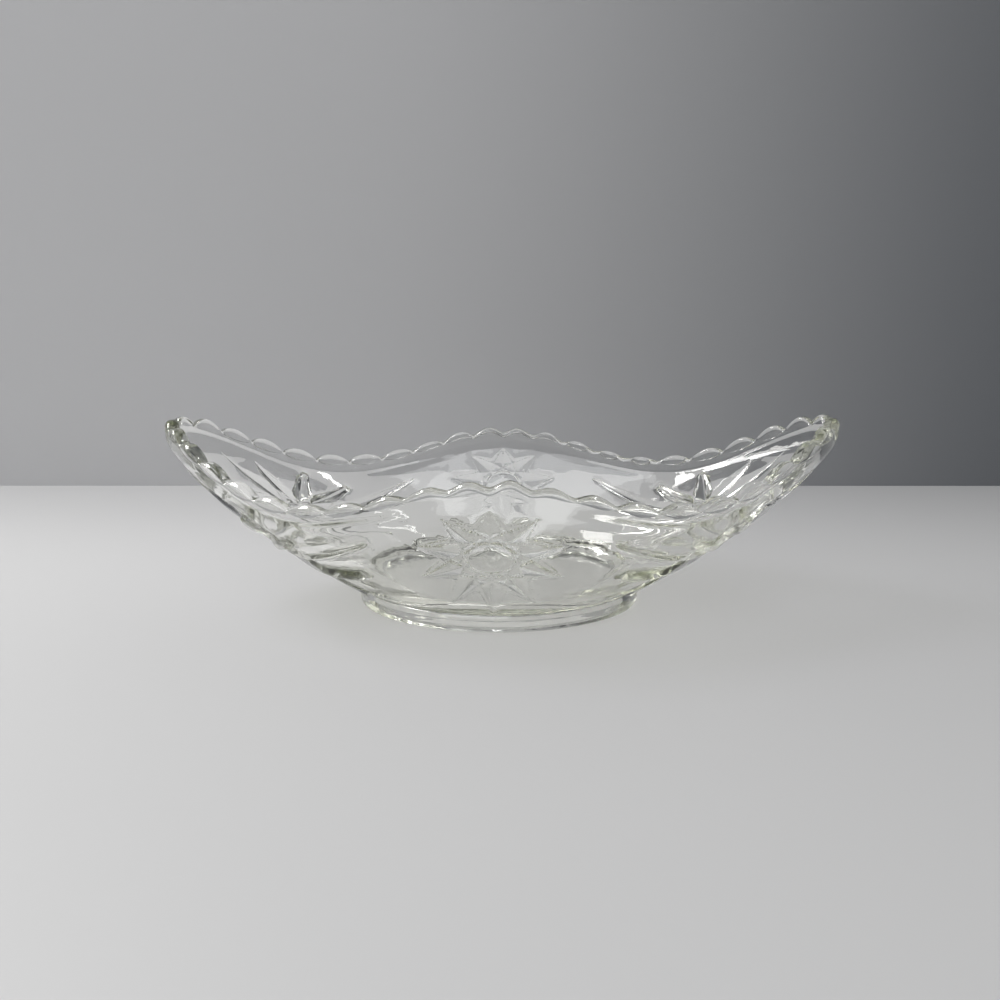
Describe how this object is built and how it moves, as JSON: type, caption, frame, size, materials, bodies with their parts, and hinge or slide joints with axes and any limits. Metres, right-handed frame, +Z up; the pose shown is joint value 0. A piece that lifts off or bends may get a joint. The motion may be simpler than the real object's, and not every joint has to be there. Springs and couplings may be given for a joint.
{
  "type": "relish tray",
  "caption": "Clear pressed-glass relish tray, boat-shaped with raised ends, a scalloped rim, star relief on the wall and an oval foot ring to stand on.",
  "frame": {"origin": "centre of the foot, on the plane it stands on", "axes": "+X along the tray towards one raised end, +Y across it, +Z up"},
  "size_m": [0.238, 0.1152, 0.0671],
  "materials": {
    "clear_glass": "fire-polished clear pressed glass"
  },
  "bodies": {
    "root": {"tray": "clear_glass"}
  },
  "joints": []
}
